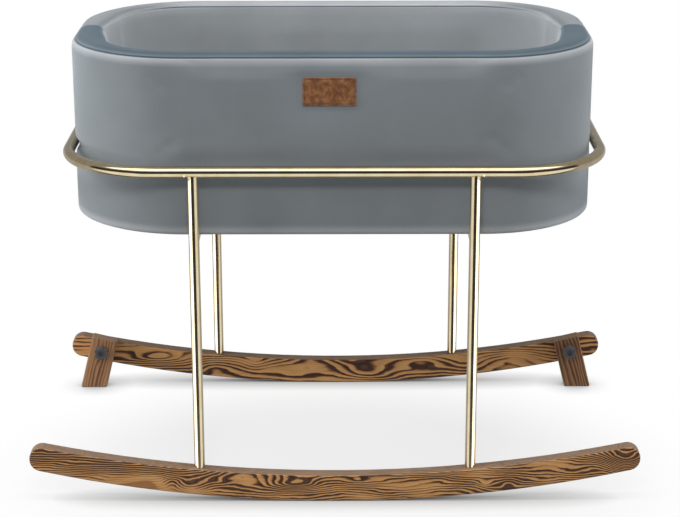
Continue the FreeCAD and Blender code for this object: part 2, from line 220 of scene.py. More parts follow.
def skyTree(s, room):
    world = bpy.data.worlds.new("studio")
    bpy.context.scene.world = world
    world.use_nodes = True
    tree = world.node_tree
    tree.nodes.clear()
    toward = addNode(tree, "TexCoord").outputs["Generated"]
    x, y, z = addNode(tree, "SeparateXYZ", [toward]).outputs
    up = addNode(tree, "Math", [z], operation="ARCSINE")
    height = addNode(tree, "Math", [up], operation="DEGREES")
    sideways = addNode(tree, "Math", [x], operation="ABSOLUTE")
    ahead = addNode(tree, "Math", [y, -1], operation="MULTIPLY")
    aside = addNode(tree, "Math", [sideways, ahead], operation="ARCTAN2")
    turn = addNode(tree, "Math", [aside], operation="DEGREES")
    edges = {
        "level": (height, "horizon", 0, 1),
        "soft": (height, "horizon", s["floorBounce"], s["skyLight"]),
        "front": (turn, "frontSide", 1, 0),
        "dip": (turn, "windowSide", room["windowDip"], 0),
        "underDark": (height, "darkTop", 1, 0),
        "underLamp": (height, "lampTop", 1, 0),
        "lampRise": (height, "lampFoot", 0, room["lamp"] - room["ceiling"]),
        "besideLamp": (turn, "lampSide", 1, 0),
        "deep": (height, "underFront", room["under"][0], room["floor"]),
        "shade": (height, "underBehind", room["under"][1], room["behindBelow"]),
    }
    fade = {name: addNode(tree, "MapRange", [value, *room[edge], low, high], interpolation_type="SMOOTHSTEP")
            for name, (value, edge, low, high) in edges.items()}
    dipped = addNode(tree, "Math", [height, fade["dip"]], operation="ADD")
    overDark = addNode(tree, "MapRange", [dipped, *room["darkFoot"], 0, 1], interpolation_type="SMOOTHSTEP")
    dark = addNode(tree, "Math", [fade["underDark"], overDark], operation="MULTIPLY")
    lamp = addNode(tree, "Math", [fade["underLamp"], fade["lampRise"]], operation="MULTIPLY")
    lamp = addNode(tree, "Math", [lamp, fade["besideLamp"]], operation="MULTIPLY")
    floorOrCeiling = addNode(tree, "Mix", {0: fade["level"], 2: fade["deep"], 3: room["ceiling"]})
    lit = addNode(tree, "Math", [lamp, floorOrCeiling], operation="ADD")
    before = addNode(tree, "Mix", {0: dark, 2: lit, 3: room["dark"]})
    behind = addNode(tree, "Mix", {0: fade["level"], 2: fade["shade"], 3: room["behindAbove"]})
    shine = addNode(tree, "Mix", {0: fade["front"], 2: behind, 3: before})
    path = addNode(tree, "LightPath").outputs
    given = addNode(tree, "Mix", {0: path["Is Glossy Ray"], 2: fade["soft"], 3: shine})
    seen = addNode(tree, "Math", [path["Is Camera Ray"], path["Is Transmission Ray"]], operation="MAXIMUM")
    final = addNode(tree, "Mix", {0: seen, 2: given, 3: 1})
    addNode(tree, "OutputWorld", [addNode(tree, "Background", [white, final])])


def makeFloor(s):
    # the paper glows a little for the camera, so that it is white and still shows the shadow
    half = s["floorHalf"]
    material, tree, shader = newMaterial("white paper sweep", Roughness=0.9, Specular_IOR_Level=0.1,
                                         Base_Color=tone(s["floorTone"]))
    spot = addNode(tree, "TexCoord").outputs["Object"]
    aside = addNode(tree, "VectorMath", [spot, s["glowCentre"]], operation="SUBTRACT")
    scaled = addNode(tree, "VectorMath", [aside, (*s["glowRadii"], 1)], operation="DIVIDE")
    away = addNode(tree, "VectorMath", [scaled], operation="LENGTH")
    fade = addNode(tree, "MapRange", [away, *s["glowEdge"], *s["floorGlow"]], interpolation_type="SMOOTHSTEP")
    path = addNode(tree, "LightPath").outputs
    amount = addNode(tree, "Math", [fade, path["Is Camera Ray"]], operation="MULTIPLY")
    # the glow is dimmed where the object is close: a painted contact shadow on the paper
    paintedContactShade = addNode(tree, "AmbientOcclusion", {"Distance": s["contactReach"]}, samples=32)
    glow = addNode(tree, "Emission", [white, paintedContactShade.outputs["AO"]])
    mixed = addNode(tree, "MixShader", [amount, shader, glow])
    tree.links.new(mixed.outputs[0], tree.nodes["Material Output"].inputs["Surface"])
    corners = [(-half, -half, 0), (half, -half, 0), (half, half, 0), (-half, half, 0)]
    floor = newPiece("floor", corners, [(0, 1, 2, 3)], material)
    floor.visible_diffuse = floor.visible_glossy = False


def makeCards(s):
    # seen only from their fronts and from close by, so that each lights its own post
    material, tree, shader = newMaterial("white card", Base_Color=white, Emission_Color=white,
                                         Emission_Strength=s["glow"])
    behind = addNode(tree, "NewGeometry").outputs["Backfacing"]
    front = addNode(tree, "Math", [1, behind], operation="SUBTRACT")
    close = addNode(tree, "Math", [addNode(tree, "LightPath").outputs["Ray Length"], s["reach"]],
                    operation="LESS_THAN")
    feed(tree, shader, Alpha=addNode(tree, "Math", [close, front], operation="MULTIPLY"))
    vertices, faces = [], []
    for name in posts:
        spot = middleOf(name)
        x = spot.x + math.copysign(s["outward"], spot.x)
        near, far = (spot.y - d for d in s["forward"])
        low, high = s["height"]
        corners = [(x, near, low), (x, far, low), (x, far, high), (x, near, high)]
        faces.append(range(len(vertices), len(vertices) + 4))
        vertices += corners if spot.x < 0 else reversed(corners)
    cards = newPiece("cards", vertices, faces, material)
    cards.visible_camera = cards.visible_diffuse = cards.visible_shadow = cards.visible_transmission = False


skyTree(studioSet, roomSet)
for name, lampSet in studioSet["lights"].items():
    softbox(name, *lampSet)
makeFloor(studioSet)
makeCards(cardSet)
print("studio lit")


# Materials

noiseSpan = (0.3, 0.7)  # where nearly all of a noise lies
velvetSet = {
    "seam": "#4d5459",
    # tones where the cloth lies flat and under its painted highlights
    "wall": ("#7d8387", "#a4a7ab"),
    "liner": ("#898e92", "#8e9296"),
    # the front rim strip is painted darker and the back strip paler: painted shade and painted light on one
    # velvet
    "rimFrontPaintedShade": ("#4f5c65", "#78838b"),
    "rimBackPaintedLight": ("#6a6f73", "#abafb3"),
    "mark": (0.93, 1.07),  # brush marks, as a share of the tone
    "markSize": 110 * mm,
    "sheen": 0.6,
    "backSheen": 0.25,
    "sheenRoughness": 0.4,
    "sheenTone": "#dfe5ea",
    "tuftSize": 2.2 * mm,  # a tuft is about 0.6 mm, drawn coarser so that it shows
    "tuftDepth": 0.35 * mm,
    "napLean": 0.32,
}


def velvet(name, part, lean=0.0, sheen=velvetSet["sheen"]):
    # Cut-pile polyester velvet: a dull body, a pale sheen at glancing angles, painted highlights on its
    # rounds.
    # The nap leans one way, so a panel looks dark from one side; the rim strips' tones are painted darker and
    # paler too.
    s = velvetSet
    made, tree, shader = newMaterial(name, Roughness=0.95, Sheen_Weight=sheen,
                                     Sheen_Roughness=s["sheenRoughness"], Specular_IOR_Level=0.15,
                                     Sheen_Tint=tone(s["sheenTone"]))
    spot = addNode(tree, "TexCoord").outputs["Object"]
    marks = addNode(tree, "TexNoise", {"Vector": spot, "Scale": 1 / s["markSize"], "Detail": 3})
    brushed = addNode(tree, "MapRange", [marks, *noiseSpan, *s["mark"]])
    seamAndHighlight = addNode(tree, "Attribute", attribute_name="seamAndHighlight").outputs["Fac"]
    body = addNode(tree, "ValToRGB", [seamAndHighlight], [(0, s["seam"]), (0.5, s[part][0]), (1, s[part][1])])
    surface = addNode(tree, "NewGeometry").outputs["Normal"]
    leaning = addNode(tree, "VectorMath", [surface, (0, lean, 0)], operation="ADD")
    nap = addNode(tree, "VectorMath", [leaning], operation="NORMALIZE")
    tufts = addNode(tree, "TexNoise", {"Vector": spot, "Scale": 1 / s["tuftSize"], "Detail": 2})
    feed(tree, shader,
         Base_Color=addNode(tree, "VectorMath", {0: body, "Scale": brushed}, operation="SCALE"),
         Normal=addNode(tree, "Bump", {"Height": tufts, "Strength": 0.5, "Distance": s["tuftDepth"],
                                       "Normal": nap}))
    return made


brassSet = {"tone": "#e5d5b3", "worn": "#dccaa4", "roughness": (0.1, 0.14), "smearSize": 25 * mm}


def polishedBrass():
    # Brass-plated steel tube, buffed bright: clear reflections, with faint smears of the polishing wheel
    s = brassSet
    made, tree, shader = newMaterial("polished brass plate", Metallic=1.0)
    spot = addNode(tree, "TexCoord").outputs["Object"]
    smears = addNode(tree, "TexNoise", {"Vector": spot, "Scale": 1 / s["smearSize"], "Detail": 4})
    feed(tree, shader, Base_Color=addNode(tree, "ValToRGB", [smears], [(0.35, s["worn"]), (0.6, s["tone"])]),
         Roughness=addNode(tree, "MapRange", [smears, 0, 1, *s["roughness"]]))
    return made


pineSet = {
    # noises drawn out along the board: length, width, step from the board's seed, detail
    "noises": {"wander": (170 * mm, 40 * mm, 0, 1.5), "ripple": (26 * mm, 10 * mm, 0, 2),
               "burn": (110 * mm, 26 * mm, 7, 1), "fibre": (60 * mm, 0.9 * mm, 0, 2)},
    "wander": 42 * mm,
    "ripple": 5 * mm,
    "burn": 0.6,
    "rings": [(0.0, "#a5764a"), (0.1, "#dca76c"), (0.46, "#cd9760"), (0.58, "#8a6040"), (0.68, "#4e362a"),
              (0.92, "#412d24"), (1.0, "#5c4132")],
    "stopRings": [(0.0, "#8f6d51"), (0.1, "#a37b5a"), (0.46, "#997150"), (0.58, "#896447"), (0.68, "#76543d"),
                  (1.0, "#684733")],
    "edge": "#75604f",
    "edgeStreak": "#8c735e",
    "edgeTurn": (0.65, 0.95),  # how squarely the faces look forward between edge and face
    "streak": (0.8, 1.15),
    "roughness": (0.4, 0.6),
    "brushDepth": 0.4 * mm,
}
# Swellings in the sawn face, which the rings run round: x, z, half-length, half-height and depth in mm,
# then how much paler the wood is there
rockerHills = {
    "front_rocker": [(-330, 30, 90, 14, 0, 0.9), (-440, 70, 110, 24, 6, -0.7), (-267, 34, 16, 14, -14, -0.3),
                     (-237, 24, 22, 10, 6, 0.4), (-150, 55, 60, 25, -24, 0), (-60, 30, 40, 10, 10, -0.2),
                     (40, 36, 36, 8, 9, 0.5), (60, 8, 90, 8, 4, 0.2), (170, 40, 40, 10, -8, -0.6),
                     (110, 24, 36, 9, 7, 0.5), (247, 31, 13, 6, 9, 0.7), (285, 34, 14, 10, -6, -0.7),
                     (345, 36, 22, 9, 5, 0.6), (400, 54, 36, 16, 9, -0.5), (477, 68, 34, 30, 24, -0.3)],
    "rear_rocker": [(-334, 52, 50, 14, 20, 0.4), (-230, 30, 34, 16, -15, 0.1), (-153, 40, 24, 16, 14, 0.2),
                    (-50, 50, 50, 18, -22, -0.1), (60, 20, 50, 16, 20, -0.1), (170, 44, 40, 14, -14, 0.1),
                    (250, 40, 30, 14, 12, 0.4), (340, 44, 50, 16, -14, 0.4)],
}


def burntPine(name, centre, ringWidth, rings, lean=0, hills=(), seed=0.0, shade=1.0, wave=1.0):
    # Scorched and brushed pine under satin oil: a flat-sawn face of tan early wood between dark late-wood
    # lines that loop round knots and swellings, with plain grey-brown edges.
    s = pineSet
    made, tree, shader = newMaterial(name, Specular_IOR_Level=0.25)
    spot = addNode(tree, "TexCoord").outputs["Object"]
    placed = addNode(tree, "Mapping", {"Vector": spot, "Location": [-c for c in centre]})
    board = addNode(tree, "Mapping", {"Vector": placed, "Rotation": (0, math.radians(lean), 0)})
    noise = {}
    for kind, (length, width, step, detail) in s["noises"].items():
        drawn = addNode(tree, "VectorMath", [board, (1 / length, 1 / width, 1 / width)], operation="MULTIPLY")
        inputs = {"Vector": drawn, "W": seed + step, "Scale": 1, "Detail": detail}
        noise[kind] = addNode(tree, "TexNoise", inputs, noise_dimensions="4D")
    height = addNode(tree, "SeparateXYZ", [board]).outputs["Z"]
    for kind in ("wander", "ripple"):
        height = addNode(tree, "Math", [noise[kind], s[kind] * wave, height], operation="MULTIPLY_ADD")
    scorch = addNode(tree, "MapRange", [noise["burn"], *noiseSpan, 1 - s["burn"], 1 + s["burn"]])
    for x, z, length, width, depth, pale in hills:
        aside = addNode(tree, "VectorMath", [board, (x * mm, 0, z * mm)], operation="SUBTRACT")
        scaled = addNode(tree, "VectorMath", [aside, (1 / (length * mm), 0, 1 / (width * mm))],
                         operation="MULTIPLY")
        squared = addNode(tree, "VectorMath", [scaled, scaled], operation="DOT_PRODUCT")
        fall = addNode(tree, "Math", [squared, -1], operation="MULTIPLY")
        hill = addNode(tree, "Math", [math.e, fall], operation="POWER")
        height = addNode(tree, "Math", [hill, depth * mm, height], operation="MULTIPLY_ADD")
        scorch = addNode(tree, "Math", [hill, -pale, scorch], operation="MULTIPLY_ADD")
    turns = addNode(tree, "Math", [height, ringWidth], operation="DIVIDE")
    ring = addNode(tree, "Math", [turns], operation="FRACT")
    burnt = addNode(tree, "Math", [ring, scorch], operation="MULTIPLY")
    face = addNode(tree, "ValToRGB", [burnt], s[rings])
    fibre = noise["fibre"]
    edge = addNode(tree, "ValToRGB", [fibre], [(0.4, s["edge"]), (0.6, s["edgeStreak"])])
    surface = addNode(tree, "NewGeometry").outputs["Normal"]
    forward = addNode(tree, "SeparateXYZ", [surface]).outputs["Y"]
    facing = addNode(tree, "Math", [forward], operation="ABSOLUTE")
    onEdge = addNode(tree, "MapRange", [facing, *s["edgeTurn"], 1, 0], interpolation_type="SMOOTHSTEP")
    body = addNode(tree, "Mix", {0: onEdge, 6: face, 7: edge}, data_type="RGBA")
    streak = addNode(tree, "MapRange", [fibre, *noiseSpan, *(shade * share for share in s["streak"])])
    brushed = addNode(tree, "Math", [fibre, burnt], operation="ADD")
    feed(tree, shader, Base_Color=addNode(tree, "VectorMath", {0: body, "Scale": streak}, operation="SCALE"),
         Roughness=addNode(tree, "MapRange", [fibre, 0, 1, *s["roughness"]]),
         Normal=addNode(tree, "Bump", {"Height": brushed, "Strength": 0.3, "Distance": s["brushDepth"]}))
    return made


grainSet = {
    # name: body tone, other tone, metallic, roughness, grain size, grain depth
    "moulded black nylon": ("#4b4a4d", "#616064", 0.0, 0.28, 0.8 * mm, 0.06 * mm),  # dark, soft glints
    "zinc plated steel": ("#b9bcc0", "#9fa3a8", 1.0, 0.3, 3.0 * mm, 0.03 * mm),  # cool and bright
    "birch plywood": ("#cdb08a", "#b8966c", 0.0, 0.6, 6.0 * mm, 0.1 * mm),  # pale and plain
    "white upholstery foam": ("#e9e4d2", "#dcd5bf", 0.0, 0.95, 1.5 * mm, 0.4 * mm),  # chalky and pitted
    "black spunbond": ("#232426", "#303235", 0.0, 0.9, 1.6 * mm, 0.15 * mm),  # dull and fibrous
    "undyed cotton sateen": ("#d2cfc7", "#c7c3b9", 0.0, 0.8, 1.2 * mm, 0.12 * mm),  # warm and soft
    "waxed brown thread": ("#1f140d", "#2e1e14", 0.0, 0.55, 0.5 * mm, 0.1 * mm),  # near black
}
glossSpread = 0.15


def grained(name):
    # a plain stuff with a fine grain: its pits and its mottled tone come from one noise
    first, second, metallic, roughness, size, depth = grainSet[name]
    made, tree, shader = newMaterial(name, Metallic=metallic)
    spot = addNode(tree, "TexCoord").outputs["Object"]
    grain = addNode(tree, "TexNoise", {"Vector": spot, "Scale": 1 / size, "Detail": 3})
    gloss = roughness * (1 - glossSpread), min(1, roughness * (1 + glossSpread))
    feed(tree, shader, Base_Color=addNode(tree, "ValToRGB", [grain], [(0.35, first), (0.65, second)]),
         Roughness=addNode(tree, "MapRange", [grain, 0, 1, *gloss]),
         Normal=addNode(tree, "Bump", {"Height": grain, "Strength": 0.4, "Distance": depth}))
    return made


leatherSet = {"dark": "#56341f", "body": "#7d5133", "pale": "#a5754c", "mottle": 9 * mm, "pebble": 1.4 * mm,
              "pebbleDepth": 0.25 * mm}


def brownLeather():
    # Oiled pull-up leather: mottled where it was bent, with a fine pebbled grain
    s = leatherSet
    made, tree, shader = newMaterial("oiled brown leather", Roughness=0.5)
    spot = addNode(tree, "TexCoord").outputs["Object"]
    mottle = addNode(tree, "TexNoise", {"Vector": spot, "Scale": 1 / s["mottle"], "Detail": 6,
                                        "Roughness": 0.7})
    pebble = addNode(tree, "TexVoronoi", {"Vector": spot, "Scale": 1 / s["pebble"]})
    tones = [(0.32, s["dark"]), (0.5, s["body"]), (0.68, s["pale"])]
    feed(tree, shader, Base_Color=addNode(tree, "ValToRGB", [mottle], tones),
         Normal=addNode(tree, "Bump", {"Height": pebble, "Strength": 0.5, "Distance": s["pebbleDepth"]}))
    return made


wallVelvet = velvet("slate velvet", "wall")
linerVelvet = velvet("slate velvet lining", "liner")
rimVelvet = {
    "Front": velvet("slate velvet napped forward", "rimFrontPaintedShade", -velvetSet["napLean"]),
    "Back": velvet("slate velvet napped backward", "rimBackPaintedLight", velvetSet["napLean"], velvetSet["backSheen"]),
}
brass = polishedBrass()
plain = {name: grained(name) for name in grainSet}
leather = brownLeather()
print("materials mixed")


# Rigid nodes keep the CAD shape and take a finish

boardSet = {
    # name, ring width, seed, shade
    "rockers": (("front_rocker", 4.6 * mm, 3.1, 1.1), ("rear_rocker", 9 * mm, 8.4, 1.0)),
    # name, side, shade
    "stops": (("left_stop", -1, 1.3), ("right_stop", 1, 0.92)),
    "stopLean": 14,
    "stopRing": 6 * mm,
    "stopWave": 0.7,
}


def finishRigid(s):
    dress(brass, "top_rail", "left_crossbar", "right_crossbar", *posts)
    for name, ringWidth, seed, shade in s["rockers"]:
        dress(burntPine(name.replace("_", " ") + " pine", (0, middleOf(name).y, 0), ringWidth, "rings",
                        hills=rockerHills[name], seed=seed, shade=shade), name)
    for name, side, shade in s["stops"]:
        dress(burntPine(name.replace("_", " ") + " pine", middleOf(name), s["stopRing"], "stopRings",
                        lean=90 + side * s["stopLean"], seed=side, shade=shade, wave=s["stopWave"]), name)
    dress(plain["moulded black nylon"], "left_knob", "right_knob")
    dress(plain["zinc plated steel"], "post_plugs", "rocker_bolts", "rocker_washers", "pivot_nuts",
          "left_knob_stud", "right_knob_stud", "left_knob_washer", "right_knob_washer", "hoop_screws")
    dress(plain["birch plywood"], "base_board", "wall_hoop")
    dress(plain["white upholstery foam"], "wall_foam")


finishRigid(boardSet)
print("rigid pieces finished")


# Loops and profiles: runs are lines, or arcs about a centre, in any plane

def runLength(run):
    if len(run) == 2:
        return math.dist(*run)
    centre, radius, begin, finish = run
    return radius * math.radians(abs(finish - begin))


def runPoint(run, distance):
    share = distance / runLength(run)
    if len(run) == 2:
        return np.array(run[0]) * (1 - share) + np.array(run[1]) * share
    centre, radius, begin, finish = run
    angle = math.radians(begin + (finish - begin) * share)
    return np.array(centre) + radius * np.array((math.cos(angle), math.sin(angle)))


def pointAlong(runs, distance):
    for run in runs[:-1]:
        if distance <= runLength(run):
            return runPoint(run, distance)
        distance -= runLength(run)
    return runPoint(runs[-1], distance)


def totalLength(runs):
    return sum(runLength(run) for run in runs)


def halfLoop(halfLength, halfWidth, radius):
    # from the right end round the front to the left end; the back is the same, turned half a turn
    side, end = halfLength - radius, halfWidth - radius
    return [((halfLength, 0), (halfLength, -end)),
            ((side, -end), radius, 0, -90),
            ((side, -halfWidth), (-side, -halfWidth)),
            ((-side, -end), radius, -90, -180),
            ((-halfLength, -end), (-halfLength, 0))]


def loopPoint(runs, distance):
    # a point of the closed loop and its outward direction
    half = totalLength(runs)
    turn = 1 if distance <= half else -1
    along = distance if distance <= half else distance - half
    near = 1e-5
    ahead = pointAlong(runs, min(along + near, half)) - pointAlong(runs, max(along - near, 0))
    outward = np.array((-ahead[1], ahead[0])) / np.linalg.norm(ahead)
    return turn * pointAlong(runs, along), turn * outward


def gradedSteps(length, step, edge):
    # rows close together beside both seams, then even ones
    count = max(2, round((length - 2 * edge[-1]) / step))
    middle = list(np.linspace(edge[-1], length - edge[-1], count + 1))
    return edge[:-1] + middle + [length - e for e in reversed(edge[:-1])]


def halve(values, closed):
    # puts a smooth point midway between each two along the first axis, by the four-point rule
    if closed:
        before, after, second = (np.roll(values, k, 0) for k in (1, -1, -2))
    else:
        padded = np.concatenate([values[:1], values, values[-1:]])
        before, after, second = padded[:-3], values[1:], padded[3:]
        values = values[:-1]
    between = (9 * (values + after) - before - second) / 16
    woven = np.stack([values, between], 1).reshape(-1, *values.shape[1:])
    return woven if closed else np.concatenate([woven, padded[-1:]])


def gridNormals(points):
    # outward normals of a grid whose rows climb a profile and whose columns go round a closed loop
    around = np.roll(points, -1, 1) - np.roll(points, 1, 1)
    normals = np.cross(np.gradient(points, axis=0), around)
    return normals / np.linalg.norm(normals, axis=2, keepdims=True)


def gridFaces(rows, columns, closed):
    span = columns if closed else columns - 1
    return [(r * columns + c, (r + 1) * columns + c, (r + 1) * columns + (c + 1) % columns,
             r * columns + (c + 1) % columns) for r in range(rows - 1) for c in range(span)]


def evaluated(thing):
    return thing.evaluated_get(bpy.context.evaluated_depsgraph_get())


def meshPoints(mesh):
    points = np.zeros(len(mesh.vertices) * 3, np.float32)
    mesh.vertices.foreach_get("co", points)
    return points.reshape(-1, 3).astype(float)


def bake(thing, modifier):
    # keeps what a modifier makes and takes the modifier off
    made = bpy.data.meshes.new_from_object(evaluated(thing))
    thing.modifiers.remove(modifier)
    thing.data = made


clothFrames = 20


def blowUp(thing, pinned, pressure, stiffness, cap):
    # cloth under air pressure; gives how far each point moved, capped
    rest = meshPoints(thing.data)
    group = thing.vertex_groups.new(name="pinned")
    group.add([int(i) for i in np.nonzero(pinned)[0]], 1.0, "REPLACE")
    cloth = thing.modifiers.new("cloth", "CLOTH")
    rules = cloth.settings
    rules.vertex_group_mass = group.name
    rules.use_pressure = True
    rules.uniform_pressure_force = pressure
    rules.tension_stiffness = rules.compression_stiffness = stiffness
    rules.effector_weights.gravity = 0
    for step in range(1, clothFrames + 1):
        bpy.context.scene.frame_set(step)
    moved = meshPoints(evaluated(thing).data) - rest
    bpy.context.scene.frame_set(1)
    thing.modifiers.remove(cloth)
    far = np.linalg.norm(moved, axis=1, keepdims=True)
    return moved * np.minimum(1, cap / np.maximum(far, tiny))


# Tub covers: one profile of the padded wall goes round the oblong, is swelled by cloth and cut at its seams

coverLow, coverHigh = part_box("outer_cover_front")
railLow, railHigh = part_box("top_rail")
patchLow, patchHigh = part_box("leather_patch")
tubSet = {
    "halfLength": coverHigh.x,
    "halfWidth": -coverLow.y,
    "bottom": coverLow.z,
    "top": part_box("rim_strip_front")[1].z,
    "linerFoot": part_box("inner_liner")[0].z,
    "cornerRadius": 186 * mm,
    "wall": 44 * mm,
    "rimRound": 19 * mm,
    "footRound": 6 * mm,
    "hem": 14 * mm,
    "seamAngle": 41,
    "clothStep": 12 * mm,
    "besideSeam": [0, 1.5 * mm, 4 * mm, 9 * mm],
    "pressure": 3,
    "stiffness": 30,
    "swellCap": 2 * mm,
    "stretchColumns": 4,
    "leftBulge": 6 * mm,
    "rightBulge": 0.5 * mm,
    "leftInside": (0.5 * mm, 12 * mm),
    "rightInside": (8 * mm, 9 * mm),
    "insideCorner": 64,
    "insideReach": 95 * mm,
    "insideFade": (560 * mm, 640 * mm),
    "railGroove": (5 * mm, 17 * mm),
    "seamDepth": 1.7 * mm,
    "seamWidth": 1.6 * mm,
    "seamShade": 2.4 * mm,
    "clothThickness": 1.2 * mm,
    "patchHold": 6 * mm,
    "railHold": 5 * mm,
    # how far the painted highlights reach: above the foot, under the cover's top seam, on the rim strip, down
    # the liner
    "highlightFoot": 11 * mm,
    "highlightTop": 15 * mm,
    "highlightLiner": 22 * mm,
    "highlightRim": 7 * mm,
    "refinements": 2,
    # powers of the outward direction: the higher, the closer to an end or to a long side
    "endFocus": 3,
    "sideFocus": 4,
    "backFocus": 6,
}


def tubLoop(s, inset=0.0):
    return halfLoop(s["halfLength"] - inset, s["halfWidth"] - inset, s["cornerRadius"] - inset)


def wallPanels(s):
    # profile in depth from the outer face and height, as three panels from the hem to the liner's foot
    spring = s["top"] - s["rimRound"]
    outer = (s["rimRound"], spring)
    inner = (s["wall"] - s["rimRound"], spring)
    foot = (s["footRound"], s["bottom"] + s["footRound"])
    seam = s["seamAngle"]
    cover = [((s["footRound"] + s["hem"], s["bottom"]), (s["footRound"], s["bottom"])),
             (foot, s["footRound"], 270, 180),
             ((0, foot[1]), (0, spring)),
             (outer, s["rimRound"], 180, 180 - seam)]
    strip = [(outer, s["rimRound"], 180 - seam, 90),
             ((outer[0], s["top"]), (inner[0], s["top"])),
             (inner, s["rimRound"], 90, seam)]
    liner = [(inner, s["rimRound"], seam, 0),
             ((s["wall"], spring), (s["wall"], s["linerFoot"]))]
    return cover, strip, liner


def wallGrid(panels, steps, loop, columns):
    profile = np.array([pointAlong(runs, d) for runs, rows in zip(panels, steps) for d in rows])
    spots, outward = np.moveaxis([loopPoint(loop, d) for d in columns], 1, 0)
    depth, height = profile[:, :1, None], profile[:, 1:, None]
    flat = spots[None] - outward[None] * depth
    return np.concatenate([flat, np.broadcast_to(height, flat.shape[:2] + (1,))], 2)


def midSteps(steps):
    return sorted(steps + [(a + b) / 2 for a, b in zip(steps, steps[1:])])


def swellTub(s, panels, steps, loop, columns):
    # how far the cloth swells at each point of the coarse grid
    grid = wallGrid(panels, steps, loop, columns)
    seamRows = np.cumsum([len(rows) for rows in steps])
    hold = s["besideSeam"][1]
    atSeam = np.array([min(d, rows[-1] - d) <= hold + tiny for rows in steps for d in rows])
    row = np.arange(len(grid))[:, None]
    x, y, z = np.moveaxis(grid, 2, 0)
    pinned = atSeam[:, None] | ((row < seamRows[0]) & (z < railHigh.z + s["railHold"]))
    pinned |= (row < seamRows[1]) & (np.abs(y) < hold)
    reach = s["patchHold"]
    pinned |= ((x > patchLow.x - reach) & (x < patchHigh.x + reach) & (z > patchLow.z - reach)
               & (z < patchHigh.z + reach) & (y < -s["halfWidth"] + reach))
    # a seam's row is in the panel below and the panel above: the cloth has it once
    once = np.setdiff1d(np.arange(len(grid)), seamRows[:-1])
    trial = newPiece("tubCloth", grid[once].reshape(-1, 3), gridFaces(len(once), len(columns), True),
                     wallVelvet)
    swelled = blowUp(trial, pinned[once].ravel(), s["pressure"], s["stiffness"], s["swellCap"])
    bpy.data.objects.remove(trial)
    print("tub cloth swelled by up to", round(np.abs(swelled).max() * 1000, 2), "mm")
    moved = np.zeros_like(grid)
    moved[once] = swelled.reshape(len(once), len(columns), 3)
    # the liner is stretched along its length, which draws out its upright creases
    liner, beside = moved[seamRows[1]:], s["stretchColumns"]
    liner[:] = np.mean([np.roll(liner, k, axis=1) for k in range(-beside, beside + 1)], axis=0)
    return moved


def eased(share):
    return share ** 2 * (3 - 2 * share)


def pushed(depth, outward):
    # moves of a grid's points, level and outward
    return depth[..., None] * np.pad(outward, ((0, 0), (0, 1)))[None]


def endBulge(s, grid, outward, rows, place):
    # the padding bulges at the ends, over and under the groove that the rail presses in it
    near, far = s["railGroove"]
    railHeight = (railLow.z + railHigh.z) / 2
    toRight, toLeft = (np.clip(way * outward[:, 0], 0, 1) ** s["endFocus"] for way in (1, -1))
    ends = s["rightBulge"] * toRight + s["leftBulge"] * toLeft
    share = np.ones(len(rows)) if place == 0 else 1 - np.array(rows) / rows[-1]
    clear = np.clip((np.abs(grid[..., 2] - railHeight) - near) / (far - near), 0, 1)
    return pushed(ends[None] * share[:, None] * eased(clear), outward)


def insideBulge(s, grid, outward, rows, place):
    # inside the ends and their corners the padding is fuller along the rim, down to above the mattress
    right = outward[:, 0] > 0
    end, corner = (np.where(right, *depths) for depths in zip(s["rightInside"], s["leftInside"]))
    turn = np.degrees(np.arctan2(np.abs(outward[:, 1]), np.abs(outward[:, 0])))
    aside = np.clip(np.abs(grid[0, :, 1]) / s["insideReach"], 0, 1)
    cornerShare = eased(aside) * np.cos(np.radians(90 * np.clip(turn / s["insideCorner"], 0, 1))) ** 2
    low, high = s["insideFade"]
    climb = np.clip((grid[:, 0, 2] - low) / (high - low), 0, 1)
    share = np.array(rows) / rows[-1] if place == 1 else climb
    depth = end * np.abs(outward[:, 0]) ** s["endFocus"] + corner * cornerShare
    return pushed(-depth[None] * eased(share)[:, None], outward)


def seamAndHighlightShares(s, runs, rows, place, outward):
    # 0 in a seam's dark line, 0.5 on a flat part, 1 under a painted highlight: beside each seam, at the foot
    # of the wall and along the inside of the rim at the back. The inner seam's dark line is faded out towards
    # the ends.
    length = totalLength(runs)
    foot = runLength(runs[0]) + runLength(runs[1])
    back = np.clip(outward[:, 1], 0, 1) ** s["backFocus"]
    along = np.abs(outward[:, 1]) ** s["sideFocus"]
    shares = []
    for d in rows:
        toSeam = (length - d, min(d, length - d), d)[place]
        reach = (s["highlightTop"], s["highlightRim"], s["highlightLiner"])[place]
        highlight = max(1 - toSeam / reach, 0)
        if place == 0:
            highlight = max(highlight, 1 - max(d - foot, 0) / s["highlightFoot"])
        paintedLight = np.maximum(highlight, back * d / length if place == 1 else 0 * back)
        inner = place == 2 or (place == 1 and d > length / 2)
        dark = max(1 - toSeam / s["seamShade"], 0) * (along if inner else 1)
        shares.append((0.5 + paintedLight / 2) * (1 - dark))
    return np.array(shares)


